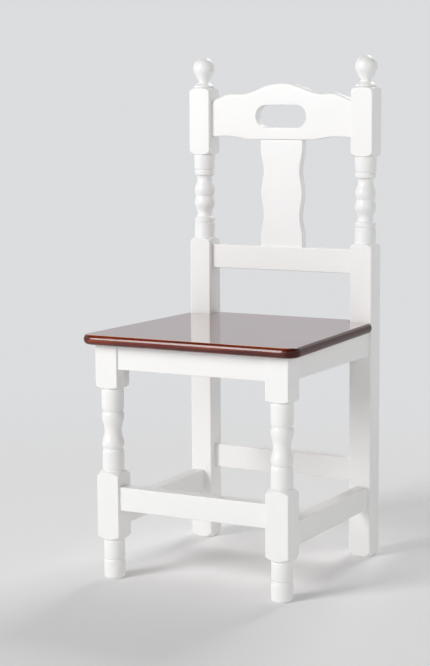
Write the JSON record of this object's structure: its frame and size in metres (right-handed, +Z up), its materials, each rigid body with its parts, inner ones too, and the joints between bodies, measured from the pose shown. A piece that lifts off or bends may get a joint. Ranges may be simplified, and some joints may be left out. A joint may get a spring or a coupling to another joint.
{
  "type": "dining chair",
  "caption": "Side chair with turned front legs, turned back posts with ball finials, a shaped crest rail with a hand slot, a scalloped splat and a lacquered board seat.",
  "frame": {"origin": "on the floor, under the middle of the chair's bounding box", "axes": "+Z up, -Y towards the chair's front, +X towards the right of a viewer who faces its front"},
  "size_m": [0.431, 0.4214, 0.95],
  "materials": {
    "white_paint": "satin white paint over wood",
    "mahogany_lacquer": "glossy lacquer over mahogany-stained wood",
    "raw_wood": "sawn pine, unfinished",
    "zinc_steel": "zinc-plated steel"
  },
  "bodies": {
    "root": {"front_leg_left": "white_paint", "front_leg_right": "white_paint", "back_post_left": "white_paint", "back_post_right": "white_paint", "crest_rail": "white_paint", "lower_back_rail": "white_paint", "back_splat": "white_paint", "front_apron": "white_paint", "rear_apron": "white_paint", "left_apron": "white_paint", "right_apron": "white_paint", "front_stretcher": "white_paint", "rear_stretcher": "white_paint", "left_stretcher": "white_paint", "right_stretcher": "white_paint", "seat_board": "mahogany_lacquer", "corner_block_front_left": "raw_wood", "corner_block_front_right": "raw_wood", "corner_block_rear_left": "raw_wood", "corner_block_rear_right": "raw_wood", "apron_screw_front_left_cross": "zinc_steel", "apron_screw_front_left_side": "zinc_steel", "apron_screw_front_right_cross": "zinc_steel", "apron_screw_front_right_side": "zinc_steel", "apron_screw_rear_left_cross": "zinc_steel", "apron_screw_rear_left_side": "zinc_steel", "apron_screw_rear_right_cross": "zinc_steel", "apron_screw_rear_right_side": "zinc_steel", "seat_screw_front_left": "zinc_steel", "seat_screw_front_right": "zinc_steel", "seat_screw_rear_left": "zinc_steel", "seat_screw_rear_right": "zinc_steel"}
  },
  "joints": []
}
